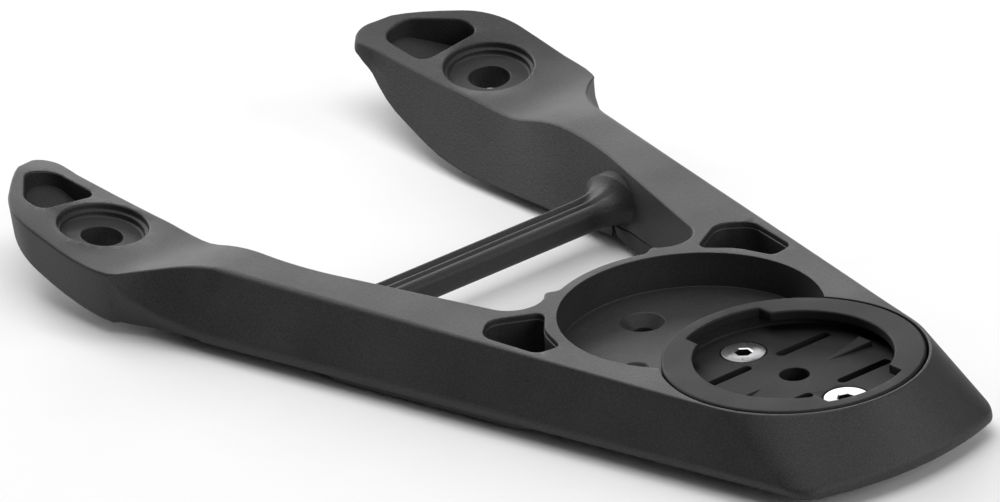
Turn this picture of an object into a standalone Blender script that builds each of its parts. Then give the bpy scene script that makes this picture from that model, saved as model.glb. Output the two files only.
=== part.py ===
"""Out-front handlebar mount for a cycling computer.

A V-shaped moulded frame carries a quarter-turn puck in one of two overlapping round
pockets. Two screws hold the puck to threaded inserts in the pocket floor. The two arms
end in pads with bolt holes, and a backing plate lies in a recess under each arm.

Everything is drawn in millimetres about the puck's centre: +X across, +Y back towards
the handlebar, +Z up, with z = 0 on the flat top of the arms. place() then moves it so
that the world origin is under the middle of the object, on the surface it stands on.
"""
import math

import bmesh
import bpy
from mathutils import Matrix, Vector

MM = 0.001
GAP = 0.3                 # running gap between pieces that touch

# Puck and the two pockets it can sit in
PUCK_R = 17.5
PUCK_TOP = 0.1
PUCK_FLOOR = -2.86        # top of the floor inside the ring
RING_UNDERSIDE = -1.25    # underside of the bayonet lip
LIP_R = 13.3              # opening inside the lip
GROOVE_R = 15.6           # bayonet groove below the lip
NOTCH_R = 15.5            # the two openings that let the bayonet ears in
NOTCH_HALF_ANGLE = 25.0
SLOT_Y = 6.05             # slots that free the two spring tongues
SLOT_W = 1.4
SLOT_INNER_X = 2.4
RAMP_TIP_X, RAMP_END_X = 6.1, 12.6
RAMP_HEIGHT, RAMP_HALF_W = 0.75, 1.25
CENTRE_HOLE_R = 2.0
POCKET_R = PUCK_R + 0.35
POCKET_FLOOR = -5.0
POCKET_STEP = 20.33       # distance between the two pocket centres
SCREW_CIRCLE = 10.15      # puck screws from the puck's centre

# Puck screws, M3 countersunk, and the inserts they turn in
SCREW_HEAD_R, SCREW_HEAD_H = 2.98, 1.5
SCREW_R, SCREW_END = 1.5, -8.3
HEX_AF, HEX_DEPTH = 2.0, 1.1
BOSS_R, BOSS_END_R, BOSS_END = 2.55, 2.25, -5.9
SEAT_DEPTH = 1.3          # conical seat in the pocket floor for a puck boss
INSERT_R, INSERT_TOP, INSERT_LENGTH = 2.3, -6.75, 2.0

# Frame, seen from above
NOSE_R = 18.3             # edge of the flat top round the front pocket
SIDE_X0, SIDE_SLOPE = 18.66, 0.2      # top edge of an arm's outer side: x at y = 0, and slope
FOOT_X0, FOOT_SLOPE = 22.3, 0.2195    # the same line at FOOT_Z, where the side has leant out
FOOT_Z = -8.6
NOSE_FOOT_R, NOSE_FOOT_Y = 45.0, -24.8
CORNER_R = 6.0
FLARE_Y, FLARE_R, FLARE_END = 77.0, 17.1, 62.0
FOOT_RUN = 14.0           # the foot line runs straight on, below the flare
WALL_R = 19.5             # outer face of the thin wall round the rear pocket
NECK_R = 4.4              # fillet where that wall meets an arm
NECK_X, NECK_Y = 13.2, 41.6
INNER_TOP_X, INNER_FOOT_X = 27.0, 20.9
PAD_LEAN, TIP_LEAN = 0.1, 0.3          # how far a pad's side walls lean in going down
PAD_FOOT_Z = -10.2
TIP_Y = 122.0

# Frame, seen from the side
RAMP_Y, RAMP_SLOPE, RAMP_BLEND = 80.3, -0.27, 4.0
PAD_Z, PAD_SLOPE, PAD_CURVE, VALLEY_BLEND = -0.85, 0.115, 0.001, 0.9
PAD_ROLL, PAD_TWIST = 0.0766, 0.0091   # outer side higher, more so towards the tip
UNDER_Z, UNDER_SLOPE = -8.85, -0.0065  # underside at the nose, and its slope
SWEEP_Y, SWEEP_SLOPE, SWEEP_BLEND = 95.0, 0.335, 5.0
UNDER_TWIST, TWIST_END_Y, OUTER_X = 0.05, 108.0, 43.0

# Crossbar
BAR_Y, BAR_DEPTH = 62.3, 4.6
BAR_TOP, BAR_HEIGHT = -3.65, 3.8
BAR_CHANNEL_R = 0.7

# Pads
BOLT_X, BOLT_Y = 34.5, 101.4
BOLT_HOLE_R = 2.8
RECESS_R, RECESS_DEPTH = 6.25, 0.9     # upper step of the recess round a bolt hole
SPOT_R, SPOT_DEPTH = 5.75, 1.75        # lower step, down to the floor
BOLT_WEB = 3.6                         # material under the bolt's recess
HEAD_POCKET_R = 5.0                    # pocket under the pad for the bolt's head
TIP_FLOOR = 0.9                        # left under the lightening pocket near the tip

# Backing plates
PLATE_T = 1.5
PLATE_INSET = 1.8
PLATE_FRONT_Y, PLATE_REAR_Y = 21.6, 77.2
BELLY_T, BELLY_START_Y, BELLY_END_Y, BELLY_RAMP = 1.2, 22.5, 60.0, 3.0
PLATE_SCREW_Y = (47.0, 70.0)
PLATE_SCREW_X = (25.2, 29.5)
PLATE_SCREW_R, PLATE_HEAD_R, PLATE_HEAD_H, PLATE_SCREW_L = 1.25, 2.3, 1.2, 5.5

LIFT = -(UNDER_Z + UNDER_SLOPE * (BELLY_END_Y - BELLY_RAMP - NOSE_FOOT_Y)) + BELLY_T
FRONT_Y, REAR_Y = -24.99, 122.3        # the object's two ends
CENTRE_Y = (FRONT_Y + REAR_Y) / 2


# ---------------------------------------------------------------- profiles and outlines

def blend(y, corner, half, before, after):
    """A line of slope before that turns into slope after at corner, rounded over +-half."""
    if y <= corner - half:
        return before * (y - corner)
    if y >= corner + half:
        return after * (y - corner)
    turned = (y - corner + half) / (2 * half)
    start = -before * half
    return start + 2 * half * (before * turned + (after - before) * turned ** 2 / 2)


def eased(t):
    t = min(max(t, 0.0), 1.0)
    return t * t * (3 - 2 * t)


def top_z(y, x):
    """Height of the top face: flat arms, a short ramp down, then pads that rise and twist."""
    if y < FLARE_Y + 1:
        return 0.0
    past, run = y - BOLT_Y, y - FLARE_Y - 1
    ramp = blend(y, RAMP_Y, RAMP_BLEND, 0.0, RAMP_SLOPE)
    pad = PAD_Z + PAD_SLOPE * past + PAD_CURVE * past * past
    twist = max(PAD_ROLL + PAD_TWIST * past, 0.035) * eased(run / 10)
    height = (ramp + pad + math.hypot(ramp - pad, VALLEY_BLEND * eased(run / 6))) / 2
    return height + twist * (abs(x) - BOLT_X)


def under_z(y, x=OUTER_X):
    """Height of the underside: nearly flat, then swept up to the tips and twisted a little."""
    twist = UNDER_TWIST * min(max((y - SWEEP_Y) / (TWIST_END_Y - SWEEP_Y), 0.0), 1.0)
    return (UNDER_Z + UNDER_SLOPE * (y - NOSE_FOOT_Y)
            + blend(y, SWEEP_Y, SWEEP_BLEND, 0.0, SWEEP_SLOPE - UNDER_SLOPE)
            + twist * (abs(x) - OUTER_X))


def belly_z(y):
    """Height of a backing plate's lower face, with its thicker stretch near the front."""
    rise = min(max(min(BELLY_END_Y - y, y - BELLY_START_Y) / BELLY_RAMP, 0.0), 1.0)
    return under_z(y) - BELLY_T * rise * rise * (3 - 2 * rise)


def arc(centre, radius, start, end, steps):
    """Points on an arc, angles in degrees from +X."""
    points = []
    for i in range(steps + 1):
        angle = math.radians(start + (end - start) * i / steps)
        points.append((centre[0] + radius * math.cos(angle), centre[1] + radius * math.sin(angle)))
    return points


def spread(start, end, steps):
    return [start + (end - start) * i / steps for i in range(steps + 1)]


def mirrored(half):
    """A closed outline from its right half, given from the front round to the back."""
    left = [(-x, y) for x, y in reversed(half) if x > 1e-6]
    return half + left


def offset(outline, distance):
    """The outline moved outwards by distance. The outline runs anticlockwise."""
    moved = []
    count = len(outline)
    for i, (x, y) in enumerate(outline):
        before, after = outline[i - 1], outline[(i + 1) % count]
        into = Vector((x - before[0], y - before[1])).normalized()
        out = Vector((after[0] - x, after[1] - y)).normalized()
        normal = Vector((into.y + out.y, -into.x - out.x)).normalized()
        reach = distance / max(0.5, normal.dot(Vector((out.y, -out.x))))
        moved.append((x + normal.x * reach, y + normal.y * reach))
    return moved


def side_half(nose, x0, slope, flare):
    """Right half of the outer outline: nose, straight side, then the flare towards the pad."""
    half = list(nose)
    half += [(x0 + slope * y, y) for y in spread(0.0, FLARE_Y, 12)]
    heading = math.atan(slope)
    start_x, end = x0 + slope * FLARE_Y, math.radians(FLARE_END)
    for turn in spread(heading, end, 10)[1:]:
        if flare:
            half.append((start_x + FLARE_R * (math.cos(heading) - math.cos(turn)),
                         FLARE_Y + FLARE_R * (math.sin(turn) - math.sin(heading))))
        else:
            run = FOOT_RUN * (turn - heading) / (end - heading)
            half.append((start_x + slope * run, FLARE_Y + run))
    half.append((half[-1][0] + 12.0, half[-1][1] + 6.4))
    half.append((half[-1][0], TIP_Y + 8.0))
    half.append((0.0, TIP_Y + 8.0))
    return half


def top_outline():
    tangent = -math.degrees(math.atan(SIDE_SLOPE))
    nose = arc((0, 0), NOSE_R, -90, tangent, 18)
    return mirrored(side_half(nose, SIDE_X0, SIDE_SLOPE, True))


def foot_outline():
    """The outline at FOOT_Z: a shallow arc across the nose, round corners, leaning sides."""
    lean = math.hypot(1, FOOT_SLOPE)
    centre = (0.0, NOSE_FOOT_Y + NOSE_FOOT_R)
    inner = FOOT_X0 - CORNER_R * lean
    a, b = 1 + FOOT_SLOPE ** 2, FOOT_SLOPE * inner - centre[1]
    c = inner ** 2 + centre[1] ** 2 - (NOSE_FOOT_R - CORNER_R) ** 2
    y = (-b - math.sqrt(b * b - a * c)) / a
    corner = (inner + FOOT_SLOPE * y, y)
    start = math.degrees(math.atan2(corner[1] - centre[1], corner[0]))
    nose = arc(centre, NOSE_FOOT_R, -90, start, 8)
    nose += arc(corner, CORNER_R, start, -math.degrees(math.atan(FOOT_SLOPE)), 10)[1:]
    return mirrored(side_half(nose, FOOT_X0, FOOT_SLOPE, False))


def pad_half(drop):
    """Right half of the outline that bounds the pads, at drop below the arms' flat top."""
    inset, tip = PAD_LEAN * drop, TIP_LEAN * drop
    return ([(0.0, -40.0), (60.0, -40.0), (60.0, 50.0), (39.6, 70.0), (42.7, 86.0),
             (43.5 - 0.4 * inset, 89.9), (44.15 - 0.8 * inset, 93.6), (44.3 - inset, 98.5)]
            + arc((31.1, 105.0), 13.2 - inset, 0, 46, 7)
            + [(38.5 - 0.5 * tip, 116.2 - 0.6 * inset), (33.5 - 0.85 * tip, 120.8 - 0.3 * inset)]
            + arc((29.4 - tip, 119.6), 2.7, 64, 178, 6)
            + [(24.0 - tip, 119.4), (24.0 - tip, TIP_Y + 5.0), (0.0, TIP_Y + 5.0)])


def opening_half(inner_x, bend_x, straight_y, run, tip):
    """Right half of the opening between the arms, from the rear pocket's wall back."""
    toward = math.degrees(math.atan2(NECK_Y - POCKET_STEP, NECK_X))
    half = arc((0, POCKET_STEP), WALL_R, 90, toward + 8, 10)
    half += arc((NECK_X, NECK_Y), NECK_R, toward - 198, -17, 10)
    end = half[-1]
    for step in spread(0.0, 1.0, 6)[1:]:
        half.append((end[0] + (bend_x - end[0]) * step, end[1] + (straight_y - end[1]) * step))
    for step in spread(0.0, 1.0, 5)[1:]:
        slowing = 1 - (1 - step) ** 2
        half.append((bend_x + (inner_x - bend_x) * slowing, straight_y + run * step))
    half += [(inner_x, 112.0), (inner_x + 0.6 * tip, 116.0), (inner_x + tip, 118.6)]
    half.append((half[-1][0], TIP_Y + 8.0))
    return half


def opening_outline(inner_x, bend_x, straight_y, run, tip):
    half = opening_half(inner_x, bend_x, straight_y, run, tip)
    return [(x, y) for x, y in half] + [(-x, y) for x, y in reversed(half) if x > 1e-6]


def rounded(corners, radii, steps=6):
    """A polygon with rounded corners, given anticlockwise."""
    points = []
    count = len(corners)
    for i, (corner, radius) in enumerate(zip(corners, radii)):
        here = Vector(corner)
        back = (Vector(corners[i - 1]) - here).normalized()
        ahead = (Vector(corners[(i + 1) % count]) - here).normalized()
        half = back.angle(ahead) / 2
        reach = radius / math.tan(half)
        centre = here + (back + ahead).normalized() * (radius / math.sin(half))
        first, last = here + back * reach - centre, here + ahead * reach - centre
        turn = first.angle_signed(last)
        for step in spread(0.0, 1.0, steps):
            points.append(tuple(centre + Matrix.Rotation(-turn * step, 2) @ first))
    return points


def front_pocket_outline(side):
    """Lightening pocket between an arm, the opening and the rear pocket's wall."""
    corners = [(18.9, 25.0), (22.6, 25.6), (24.1, 35.0), (20.3, 38.2), (13.5, 34.4), (17.1, 30.4)]
    outline = rounded(corners, [1.2, 1.6, 3.0, 2.5, 1.2, 8.0], 5)
    return outline if side > 0 else [(-x, y) for x, y in reversed(outline)]


def tip_pocket_outline(side):
    """Lightening pocket near the tip of a pad."""
    corners = [(29.1, 109.1), (39.1, 108.8), (39.4, 112.1), (33.9, 118.7), (29.5, 118.3)]
    outline = rounded(corners, [1.8, 1.5, 1.2, 1.8, 2.0], 5)
    return outline if side > 0 else [(-x, y) for x, y in reversed(outline)]


def plate_outline(side):
    """Outer outline of a backing plate. The opening between the arms trims its inner side."""
    outline = [(12.2, 33.5), (14.2, 28.6), (17.4, 23.6), (20.0, PLATE_FRONT_Y),
               (23.6, PLATE_FRONT_Y), (25.0, PLATE_FRONT_Y + 0.8)]
    outline += [(FOOT_X0 + FOOT_SLOPE * y - PLATE_INSET, y)
                for y in spread(PLATE_FRONT_Y + 2.8, 73.0, 6)]
    outline += arc((34.0, PLATE_REAR_Y - 2.6), 2.6, -8, 90, 6)
    outline += arc((24.7, PLATE_REAR_Y - 2.0), 2.0, 90, 180, 5)
    outline += [(22.7, 63.0), (20.5, 60.5), (12.2, 60.5)]
    return outline if side > 0 else [(-x, y) for x, y in reversed(outline)]


# ---------------------------------------------------------------- mesh helpers

def clear_scene():
    for old in list(bpy.data.objects):
        bpy.data.objects.remove(old, do_unlink=True)


def material(name, colour, roughness, metallic=0.0):
    made = bpy.data.materials.new(name)
    made.use_nodes = True
    shader = made.node_tree.nodes["Principled BSDF"]
    shader.inputs["Base Color"].default_value = (*colour, 1.0)
    shader.inputs["Roughness"].default_value = roughness
    shader.inputs["Metallic"].default_value = metallic
    return made


def add_object(name, bm):
    bmesh.ops.recalc_face_normals(bm, faces=bm.faces)
    if bm.calc_volume(signed=True) < 0:
        bmesh.ops.reverse_faces(bm, faces=bm.faces)
    bmesh.ops.triangulate(bm, faces=bm.faces)
    mesh = bpy.data.meshes.new(name)
    bm.to_mesh(mesh)
    bm.free()
    made = bpy.data.objects.new(name, mesh)
    bpy.context.scene.collection.objects.link(made)
    return made


def loft(name, rings):
    """A closed solid through rings of points in millimetres, with flat ends."""
    bm = bmesh.new()
    loops = [[bm.verts.new(Vector(point) * MM) for point in ring] for ring in rings]
    for lower, upper in zip(loops, loops[1:]):
        for i in range(len(lower)):
            bm.faces.new((lower[i - 1], lower[i], upper[i], upper[i - 1]))
    bm.faces.new(loops[0])
    bm.faces.new(loops[-1])
    return add_object(name, bm)


def prism(name, outline, low, high):
    return loft(name, [[(x, y, z) for x, y in outline] for z in (low, high)])


def leaning_prism(name, upper, lower, upper_z, lower_z, low, high):
    """The solid whose outline is upper at upper_z and lower at lower_z, from low to high."""
    def ring(z):
        t = (z - upper_z) / (lower_z - upper_z)
        return [(a[0] + (b[0] - a[0]) * t, a[1] + (b[1] - a[1]) * t, z)
                for a, b in zip(upper, lower)]
    return loft(name, [ring(low), ring(high)])


def side_prism(name, outline, reach):
    """An outline in Y and Z, carried across in X."""
    return loft(name, [[(x, y, z) for y, z in outline] for x in (-reach, reach)])


def turned(name, profile, steps, centre=(0.0, 0.0)):
    """A solid of revolution about a vertical axis. The profile of (r, z) starts and ends on
    the axis, or is a closed ring off the axis."""
    on_axis = profile[0][0] == 0.0
    body = profile[1:-1] if on_axis else profile
    rings = []
    for radius, z in body:
        rings.append([(centre[0] + radius * math.cos(2 * math.pi * i / steps),
                       centre[1] + radius * math.sin(2 * math.pi * i / steps), z)
                      for i in range(steps)])
    if on_axis:
        return loft(name, rings)
    bm = bmesh.new()
    loops = [[bm.verts.new(Vector(point) * MM) for point in ring] for ring in rings]
    for j in range(len(loops)):
        for i in range(steps):
            bm.faces.new((loops[j - 1][i - 1], loops[j - 1][i], loops[j][i], loops[j][i - 1]))
    return add_object(name, bm)


def cylinder(name, centre, radius, low, high, steps=32):
    return turned(name, [(0.0, low), (radius, low), (radius, high), (0.0, high)], steps, centre)


def tilt_to_pad(made, side):
    """Turns a tool drawn about the vertical through (0, 0, 0) square to a pad's bolt."""
    turn = (Matrix.Rotation(math.atan(PAD_SLOPE), 4, "X")
            @ Matrix.Rotation(-side * math.atan(PAD_ROLL), 4, "Y"))
    spot = Matrix.Translation(Vector((side * BOLT_X, BOLT_Y, PAD_Z)) * MM)
    made.data.transform(spot @ turn)
    return made


def combine(target, tool, operation="DIFFERENCE"):
    tool.hide_render = True
    tool.display_type = "WIRE"
    step = target.modifiers.new(tool.name, "BOOLEAN")
    step.operation = operation
    step.solver = "EXACT"
    step.object = tool


def finish(made, finish_material):
    made.data.materials.append(finish_material)
    made.data.shade_smooth()
    made.data.set_sharp_from_angle(angle=math.radians(30))
    return made


# ---------------------------------------------------------------- frame

def top_and_underside():
    """The space between the underside and the top, as sections along Y carried across."""
    ys = spread(-40.0, 70.0, 4) + spread(76.0, 123.0, 32)
    rings = []
    for x in (-60.0, -23.0, 23.0, 60.0):
        rings.append([(x, y, under_z(y, x)) for y in ys]
                     + [(x, y, top_z(y, x)) for y in reversed(ys)])
    return loft("side_bounds", rings)


def frame_blank():
    """Nose and arms before the openings: outer sides, pad sides, top and underside."""
    blank = leaning_prism("mount_frame", top_outline(), foot_outline(), 0.0, FOOT_Z, -10.4, 2.6)
    bounds = leaning_prism("pad_bounds", mirrored(pad_half(0.0)),
                           mirrored(pad_half(-PAD_FOOT_Z)), 0.0, PAD_FOOT_Z, PAD_FOOT_Z, 3.0)
    combine(blank, bounds, "INTERSECT")
    combine(blank, top_and_underside(), "INTERSECT")
    return blank


def opening_cutter():
    """The space between the arms. Its sides lean, so an arm is wider at its foot."""
    upper = opening_outline(INNER_TOP_X, 24.9, 65.0, 15.0, -0.3)
    lower = opening_outline(INNER_FOOT_X, 20.8, 56.0, 12.0, 2.5)
    return leaning_prism("opening_cutter", upper, lower, 0.0, -9.2, -16.0, 6.0)


def crossbar():
    """The bar between the arms, with a shallow channel along its top."""
    y0, y1 = BAR_Y - BAR_DEPTH / 2, BAR_Y + BAR_DEPTH / 2
    low = BAR_TOP - BAR_HEIGHT
    section = [(y0 + 1.2, low), (y1 - 1.0, low), (y1, low + 1.0), (y1, BAR_TOP - 0.7)]
    section += [(y1 - 0.5, BAR_TOP)]
    section += arc((BAR_Y + 0.35, BAR_TOP + 0.25), BAR_CHANNEL_R, -20, -160, 6)
    section += [(y0 + 1.5, BAR_TOP), (y0 + 0.4, BAR_TOP - 0.7), (y0, BAR_TOP - 1.8),
                (y0 + 0.25, low + 1.1)]
    return side_prism("crossbar_stock", section, 25.5)


def cut_pockets(frame):
    for name, y in (("front_pocket", 0.0), ("rear_pocket", POCKET_STEP)):
        combine(frame, cylinder(name, (0.0, y), POCKET_R, POCKET_FLOOR, 8.0, 80))
    for side in (-1, 1):
        hand = "right" if side > 0 else "left"
        combine(frame, prism(hand + "_front_lightening", front_pocket_outline(side), -14.0, 6.0))
        outline = tip_pocket_outline(side)
        combine(frame, loft(hand + "_tip_lightening",
                            [[(x, y, under_z(y, x) + TIP_FLOOR) for x, y in outline],
                             [(x, y, 6.0) for x, y in outline]]))


def insert_places():
    """Where the puck can be screwed down: a square of holes about each pocket's centre."""
    places = []
    for y in (0.0, POCKET_STEP):
        for dx, dy in ((0, -1), (-1, 0), (1, 0), (0, 1)):
            place = (dx * SCREW_CIRCLE, y + dy * SCREW_CIRCLE)
            if all(math.dist(place, other) > 1.0 for other in places):
                places.append(place)
    return places


def cut_screw_seats(frame):
    for i, place in enumerate(insert_places()):
        low = INSERT_TOP - INSERT_LENGTH
        wide, narrow = BOSS_R + GAP, BOSS_END_R + GAP
        seat = [(0.0, -14.0), (INSERT_R + GAP, -14.0), (INSERT_R + GAP, INSERT_TOP + GAP),
                (SCREW_R + GAP, INSERT_TOP + GAP), (narrow - 0.2, POCKET_FLOOR - SEAT_DEPTH),
                (wide, POCKET_FLOOR), (wide, POCKET_FLOOR + 0.5), (0.0, POCKET_FLOOR + 0.5)]
        assert low > UNDER_Z - 0.2
        combine(frame, turned(f"screw_seat_{i + 1}", seat, 28, place))


def pad_cutter(side):
    """Stepped recess, bolt hole and head pocket of one pad, square to the pad."""
    hand = "right" if side > 0 else "left"
    head_top = -SPOT_DEPTH - BOLT_WEB
    profile = [(0.0, -16.0), (HEAD_POCKET_R, -16.0), (HEAD_POCKET_R, head_top),
               (BOLT_HOLE_R, head_top), (BOLT_HOLE_R, -SPOT_DEPTH), (SPOT_R, -SPOT_DEPTH),
               (SPOT_R, -RECESS_DEPTH), (RECESS_R, -RECESS_DEPTH), (RECESS_R, 3.0), (0.0, 3.0)]
    return tilt_to_pad(turned(hand + "_pad_cutter", profile, 40), side)


def cut_plate_recess(frame, side):
    hand = "right" if side > 0 else "left"
    stock = prism(hand + "_plate_recess", offset(plate_outline(side), GAP), -16.0, 4.0)
    section = [(y, -18.0) for y in (10.0, 85.0)]
    section += [(y, under_z(y) + PLATE_T + GAP) for y in (85.0, 10.0)]
    combine(stock, side_prism(hand + "_recess_height", section, 70.0), "INTERSECT")
    combine(frame, stock)
    for x, y in zip(PLATE_SCREW_X, PLATE_SCREW_Y):
        top = belly_z(y) + PLATE_SCREW_L + GAP
        spot = (side * x, y)
        hole = cylinder(f"{hand}_screw_hole_{y:.0f}", spot, PLATE_SCREW_R + GAP, -14.0, top, 20)
        combine(frame, hole)


def make_frame(finish_material):
    frame = frame_blank()
    combine(frame, opening_cutter())
    combine(frame, crossbar(), "UNION")
    for side in (-1, 1):
        cut_plate_recess(frame, side)
    cut_pockets(frame)
    cut_screw_seats(frame)
    for side in (-1, 1):
        combine(frame, pad_cutter(side))
    return finish(frame, finish_material)


# ---------------------------------------------------------------- backing plates

def countersunk(name, centre, head_z, sign, radius, head_r, head_h, length, steps=28):
    """A countersunk screw with a hex socket. sign is +1 when the head faces up."""
    end = head_z - sign * length
    neck = head_z - sign * head_h
    profile = [(0.0, head_z), (head_r, head_z), (head_r, head_z - sign * 0.15), (radius, neck),
               (radius, end + sign * 0.4), (radius - 0.4, end), (0.0, end)]
    screw = turned(name, profile, steps, centre)
    return screw


def hex_cutter(name, centre, across_flats, low, high):
    return cylinder(name, centre, across_flats / math.sqrt(3), low, high, 6)


def make_plate(side, finish_material):
    hand = "right" if side > 0 else "left"
    plate = prism(hand + "_backing_plate", plate_outline(side), -16.0, 4.0)
    ys = (spread(10.0, BELLY_START_Y, 1) + spread(BELLY_START_Y + 0.75, BELLY_START_Y + 3.0, 3)
          + spread(35.0, BELLY_END_Y - BELLY_RAMP, 2) + spread(BELLY_END_Y - 2.25, BELLY_END_Y, 3)
          + [85.0])
    section = [(y, belly_z(y)) for y in ys] + [(y, under_z(y) + PLATE_T) for y in reversed(ys)]
    combine(plate, side_prism(hand + "_plate_height", section, 70.0), "INTERSECT")
    combine(plate, bpy.data.objects["opening_cutter"])
    for x, y in zip(PLATE_SCREW_X, PLATE_SCREW_Y):
        seat = [(0.0, -16.0), (PLATE_HEAD_R + GAP, -16.0), (PLATE_HEAD_R + GAP, belly_z(y) + 0.2),
                (PLATE_SCREW_R + GAP, belly_z(y) + PLATE_HEAD_H + 0.2), (PLATE_SCREW_R + GAP, 2.0),
                (0.0, 2.0)]
        combine(plate, turned(f"{hand}_plate_seat_{y:.0f}", seat, 24, (side * x, y)))
    return finish(plate, finish_material)


def make_plate_screws(side, finish_material):
    hand = "right" if side > 0 else "left"
    for place, x, y in zip(("front", "rear"), PLATE_SCREW_X, PLATE_SCREW_Y):
        head = belly_z(y) + 0.1
        spot = (side * x, y)
        screw = countersunk(f"{hand}_plate_screw_{place}", spot, head, -1, PLATE_SCREW_R,
                            PLATE_HEAD_R, PLATE_HEAD_H, PLATE_SCREW_L - 0.3, 24)
        combine(screw, hex_cutter(screw.name + "_hex", spot, 1.5, head - 2.0, head + 0.8))
        finish(screw, finish_material)


# ---------------------------------------------------------------- puck

def puck_body():
    """The turned part of the puck: floor, wall, bayonet groove and lip."""
    under = POCKET_FLOOR + GAP
    profile = [(0.0, under), (PUCK_R, under), (PUCK_R, PUCK_TOP - 0.3), (PUCK_R - 0.3, PUCK_TOP),
               (LIP_R, PUCK_TOP), (LIP_R, RING_UNDERSIDE), (GROOVE_R, RING_UNDERSIDE),
               (GROOVE_R, PUCK_FLOOR), (0.0, PUCK_FLOOR)]
    return turned("quarter_turn_puck", profile, 80)


def notch_cutter(name, middle):
    """One opening in the lip for a bayonet ear."""
    start, end = middle - NOTCH_HALF_ANGLE, middle + NOTCH_HALF_ANGLE
    outline = arc((0, 0), NOTCH_R, start, end, 11) + arc((0, 0), LIP_R - 1.0, end, start, 7)
    return prism(name, outline, RING_UNDERSIDE - 0.6, 4.0)


def tongue_ramp(name, side):
    """The detent wedge on a spring tongue, thin towards the centre."""
    low = PUCK_FLOOR - 0.5
    tip, end = side * RAMP_TIP_X, side * RAMP_END_X
    bm = bmesh.new()
    base = [(tip, -0.15), (end, -RAMP_HALF_W), (end, RAMP_HALF_W), (tip, 0.15)]
    floor = [bm.verts.new(Vector((x, y, low)) * MM) for x, y in base]
    crest = [bm.verts.new(Vector((x, y, PUCK_FLOOR + (RAMP_HEIGHT if x == end else 0.05))) * MM)
             for x, y in base]
    bm.faces.new(floor)
    bm.faces.new(crest)
    for i in range(4):
        bm.faces.new((floor[i - 1], floor[i], crest[i], crest[i - 1]))
    return add_object(name, bm)


def cut_tongues(puck):
    """Two slots beside each spring tongue, and the relief under it that lets it bend."""
    under = POCKET_FLOOR + GAP
    for side in (-1, 1):
        hand = "right" if side > 0 else "left"
        for y in (-SLOT_Y, SLOT_Y):
            low, high = y - SLOT_W / 2, y + SLOT_W / 2
            end = math.sqrt((GROOVE_R - 0.6) ** 2 - SLOT_Y ** 2)
            centre = SLOT_INNER_X + SLOT_W / 2
            outline = ([(side * end, low), (side * end, high)]
                       + [(side * x, yy) for x, yy in arc((centre, y), SLOT_W / 2, 90, 270, 8)])
            name = f"{hand}_slot_{'rear' if y > 0 else 'front'}"
            combine(puck, prism(name, outline, under - 1.0, PUCK_FLOOR + 0.4))
        relief = [(side * 4.0, -SLOT_Y), (side * 14.0, -SLOT_Y),
                  (side * 14.0, SLOT_Y), (side * 4.0, SLOT_Y)]
        combine(puck, prism(hand + "_tongue_relief", relief, under - 1.0, under + 0.8))


def make_puck(finish_material):
    puck = puck_body()
    combine(puck, notch_cutter("rear_notch", 90.0))
    combine(puck, notch_cutter("front_notch", 270.0))
    for side in (-1, 1):
        combine(puck, tongue_ramp("right_ramp" if side > 0 else "left_ramp", side), "UNION")
    for name, y in (("rear", SCREW_CIRCLE), ("front", -SCREW_CIRCLE)):
        boss = [(0.0, BOSS_END), (BOSS_END_R, BOSS_END), (BOSS_R, POCKET_FLOOR),
                (BOSS_R, PUCK_FLOOR - 0.5), (0.0, PUCK_FLOOR - 0.5)]
        combine(puck, turned(name + "_boss", boss, 32, (0.0, y)), "UNION")
    cut_tongues(puck)
    combine(puck, cylinder("centre_hole", (0, 0), CENTRE_HOLE_R, -9.0, 0.0, 32))
    for name, y in (("rear", SCREW_CIRCLE), ("front", -SCREW_CIRCLE)):
        wide, narrow = SCREW_HEAD_R + 0.2, SCREW_R + GAP
        seat = [(0.0, -9.0), (narrow, -9.0), (narrow, PUCK_FLOOR - SCREW_HEAD_H - 0.15),
                (wide, PUCK_FLOOR - 0.2), (wide, 0.0), (0.0, 0.0)]
        combine(puck, turned(name + "_puck_seat", seat, 32, (0.0, y)))
    return finish(puck, finish_material)


def make_puck_screw(name, y, finish_material):
    """Drawn about its own axis, so that its origin is on the axis it turns about."""
    head = PUCK_FLOOR - 0.02
    screw = countersunk(name, (0, 0), head, 1, SCREW_R, SCREW_HEAD_R, SCREW_HEAD_H,
                        head - SCREW_END, 40)
    tool = hex_cutter(name + "_hex", (0, 0), HEX_AF, head - HEX_DEPTH, head + 1.0)
    for piece in (screw, tool):
        piece.location = (0.0, y * MM, 0.0)
    combine(screw, tool)
    return finish(screw, finish_material)


def make_inserts(finish_material):
    for i, place in enumerate(insert_places()):
        low = INSERT_TOP - INSERT_LENGTH
        ring = [(SCREW_R + GAP, low), (INSERT_R, low), (INSERT_R, INSERT_TOP),
                (SCREW_R + GAP, INSERT_TOP)]
        finish(turned(f"threaded_insert_{i + 1}", ring, 24, place), finish_material)


# ---------------------------------------------------------------- assembly

def place():
    """Moves everything so that the origin is under the middle of the object."""
    for made in bpy.data.objects:
        made.location = made.location + Vector((0.0, -CENTRE_Y, LIFT)) * MM


def main():
    clear_scene()
    moulding = material("moulded_charcoal", (0.06, 0.06, 0.062), 0.62)
    puck_plastic = material("puck_plastic", (0.045, 0.045, 0.046), 0.6)
    steel = material("stainless_steel", (0.75, 0.75, 0.76), 0.28, 1.0)
    brass = material("insert_brass", (0.72, 0.52, 0.25), 0.4, 1.0)
    plate_plastic = material("plate_plastic", (0.05, 0.05, 0.052), 0.58)
    dark_steel = material("black_steel", (0.08, 0.08, 0.085), 0.4, 0.8)
    make_frame(moulding)
    for side in (-1, 1):
        make_plate(side, plate_plastic)
        make_plate_screws(side, dark_steel)
    make_puck(puck_plastic)
    make_puck_screw("rear_puck_screw", SCREW_CIRCLE, steel)
    make_puck_screw("front_puck_screw", -SCREW_CIRCLE, steel)
    make_inserts(brass)
    place()


main()
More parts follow.
